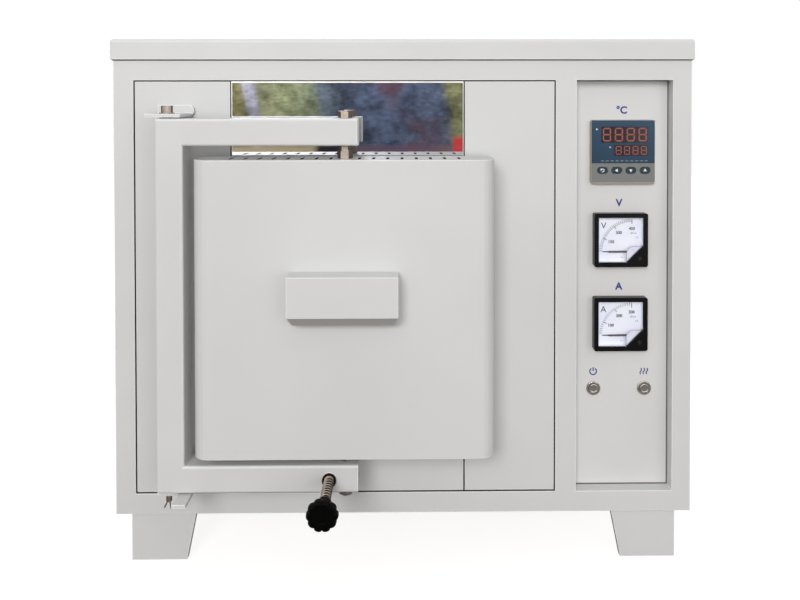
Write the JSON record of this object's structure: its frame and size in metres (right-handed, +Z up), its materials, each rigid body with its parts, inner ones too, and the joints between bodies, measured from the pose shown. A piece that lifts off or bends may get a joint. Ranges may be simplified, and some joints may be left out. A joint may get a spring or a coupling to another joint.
{
  "type": "box furnace",
  "caption": "Box furnace with a plug door hung in a swinging square-tube yoke, a sprung lock screw, and a set-back panel of controller, meters and push buttons.",
  "frame": {"origin": "on the floor, at the centre of the object's outline seen from above", "axes": "+Z up, -Y the front with the door and the control panel, +X to the right seen from the front"},
  "size_m": [0.858, 0.835, 0.77],
  "materials": {
    "powder_coat": "satin warm light grey powder coat",
    "polished_steel": "mirror-polished stainless sheet",
    "galvanised_steel": "dull zinc-coated sheet",
    "ceramic_fibre": "matt vacuum-formed fibre board",
    "hearth_ceramic": "matt fired ceramic",
    "sheath_ceramic": "smooth unglazed ceramic",
    "heating_element": "dark silicide with an oxide skin",
    "core_steel": "dark varnished laminations and winding",
    "gland_plastic": "black nylon",
    "controller_plastic": "grey moulding with a blue front film",
    "key_rubber": "dark soft keys",
    "meter_plastic": "black moulding",
    "voltmeter_dial": "matt white dial sheet",
    "ammeter_dial": "matt white dial sheet",
    "needle_black": "matt black",
    "meter_window": "clear moulded cover",
    "button_chrome": "bright plated",
    "fastener_steel": "plain machined steel",
    "spring_steel": "bare oiled spring wire",
    "knob_plastic": "black moulded star knob"
  },
  "bodies": {
    "cabinet": {"front_frame": "powder_coat", "side_panel_left": "powder_coat", "side_panel_right": "powder_coat", "rear_panel": "powder_coat", "top_cover": "powder_coat", "foot_front_left": "powder_coat", "foot_front_right": "powder_coat", "foot_rear_left": "powder_coat", "foot_rear_right": "powder_coat", "left_front_panel": "powder_coat", "right_front_panel": "powder_coat", "lower_front_panel": "powder_coat", "control_panel": "powder_coat", "heat_shield": "polished_steel", "base_pan": "galvanised_steel", "compartment_wall": "galvanised_steel", "mouth_block": "ceramic_fibre", "lining_floor": "ceramic_fibre", "lining_roof": "ceramic_fibre", "lining_walls": "ceramic_fibre", "hearth_plate": "hearth_ceramic", "heating_element_1": "heating_element", "heating_element_2": "heating_element", "heating_element_3": "heating_element", "heating_element_4": "heating_element", "thermocouple": "sheath_ceramic", "power_transformer": "core_steel", "cable_gland": "gland_plastic", "controller_case": "controller_plastic", "voltmeter_case": "meter_plastic", "ammeter_case": "meter_plastic", "voltmeter_dial": "voltmeter_dial", "ammeter_dial": "ammeter_dial", "voltmeter_window": "meter_window", "ammeter_window": "meter_window", "power_button_ring": "button_chrome", "heating_button_ring": "button_chrome", "upper_hinge_bracket": "powder_coat", "lower_hinge_bracket": "powder_coat", "upper_hinge_pin": "fastener_steel", "lower_hinge_pin": "fastener_steel"},
    "yoke": {"yoke_frame": "powder_coat", "upper_pivot_bolt": "fastener_steel", "lower_pivot_bolt": "fastener_steel", "lock_spring": "spring_steel"},
    "door": {"door_shell": "powder_coat", "door_back_plate": "polished_steel", "door_plug": "ceramic_fibre", "door_handle": "powder_coat"},
    "lock_carriage": {"lock_washer": "fastener_steel"},
    "lock_screw": {"lock_rod": "fastener_steel", "lock_knob": "knob_plastic"},
    "power_button": {"power_button_cap": "button_chrome"},
    "heating_button": {"heating_button_cap": "button_chrome"},
    "set_key": {"controller_key_set": "key_rubber"},
    "left_key": {"controller_key_left": "key_rubber"},
    "down_key": {"controller_key_down": "key_rubber"},
    "up_key": {"controller_key_up": "key_rubber"},
    "voltmeter_pointer": {"voltmeter_needle": "needle_black"},
    "ammeter_pointer": {"ammeter_needle": "needle_black"}
  },
  "joints": [
    {"name": "yoke_swing", "type": "hinge", "parent": "cabinet", "child": "yoke", "pos_m": [-0.3317, -0.3065, 0.1545], "axis": [0, 0, -1], "range_deg": [0, 120]},
    {"name": "door_pivot", "type": "hinge", "parent": "yoke", "child": "door", "pos_m": [-0.0825, -0.3065, 0.394], "axis": [0, 0, 1], "range_deg": [-2, 2]},
    {"name": "lock_press", "type": "slide", "parent": "yoke", "child": "lock_carriage", "axis": [0, 1, 0], "range_m": [0, 0.022], "stiffness_N_per_m": 300, "springref_m": -0.004, "deforming": ["lock_spring"]},
    {"name": "lock_turn", "type": "hinge", "parent": "lock_carriage", "child": "lock_screw", "pos_m": [-0.104, -0.3841, 0.1545], "axis": [0, 1, 0], "continuous": true},
    {"name": "power_button_press", "type": "slide", "parent": "cabinet", "child": "power_button", "axis": [0, 1, 0], "range_m": [0, 0.003], "stiffness_N_per_m": 300, "springref_m": -0.002},
    {"name": "heating_button_press", "type": "slide", "parent": "cabinet", "child": "heating_button", "axis": [0, 1, 0], "range_m": [0, 0.003], "stiffness_N_per_m": 300, "springref_m": -0.002},
    {"name": "set_key_press", "type": "slide", "parent": "cabinet", "child": "set_key", "axis": [0, 1, 0], "range_m": [0, 0.0006], "stiffness_N_per_m": 400, "springref_m": -0.0005},
    {"name": "left_key_press", "type": "slide", "parent": "cabinet", "child": "left_key", "axis": [0, 1, 0], "range_m": [0, 0.0006], "stiffness_N_per_m": 400, "springref_m": -0.0005},
    {"name": "down_key_press", "type": "slide", "parent": "cabinet", "child": "down_key", "axis": [0, 1, 0], "range_m": [0, 0.0006], "stiffness_N_per_m": 400, "springref_m": -0.0005},
    {"name": "up_key_press", "type": "slide", "parent": "cabinet", "child": "up_key", "axis": [0, 1, 0], "range_m": [0, 0.0006], "stiffness_N_per_m": 400, "springref_m": -0.0005},
    {"name": "voltmeter_swing", "type": "hinge", "parent": "cabinet", "child": "voltmeter_pointer", "pos_m": [0.34235, -0.2452, 0.453], "axis": [0, 1, 0], "range_deg": [0, 90], "stiffness_Nm_per_rad": 0.0002, "springref_deg": -2.86},
    {"name": "ammeter_swing", "type": "hinge", "parent": "cabinet", "child": "ammeter_pointer", "pos_m": [0.34235, -0.2452, 0.327], "axis": [0, 1, 0], "range_deg": [0, 90], "stiffness_Nm_per_rad": 0.0002, "springref_deg": -2.86}
  ]
}
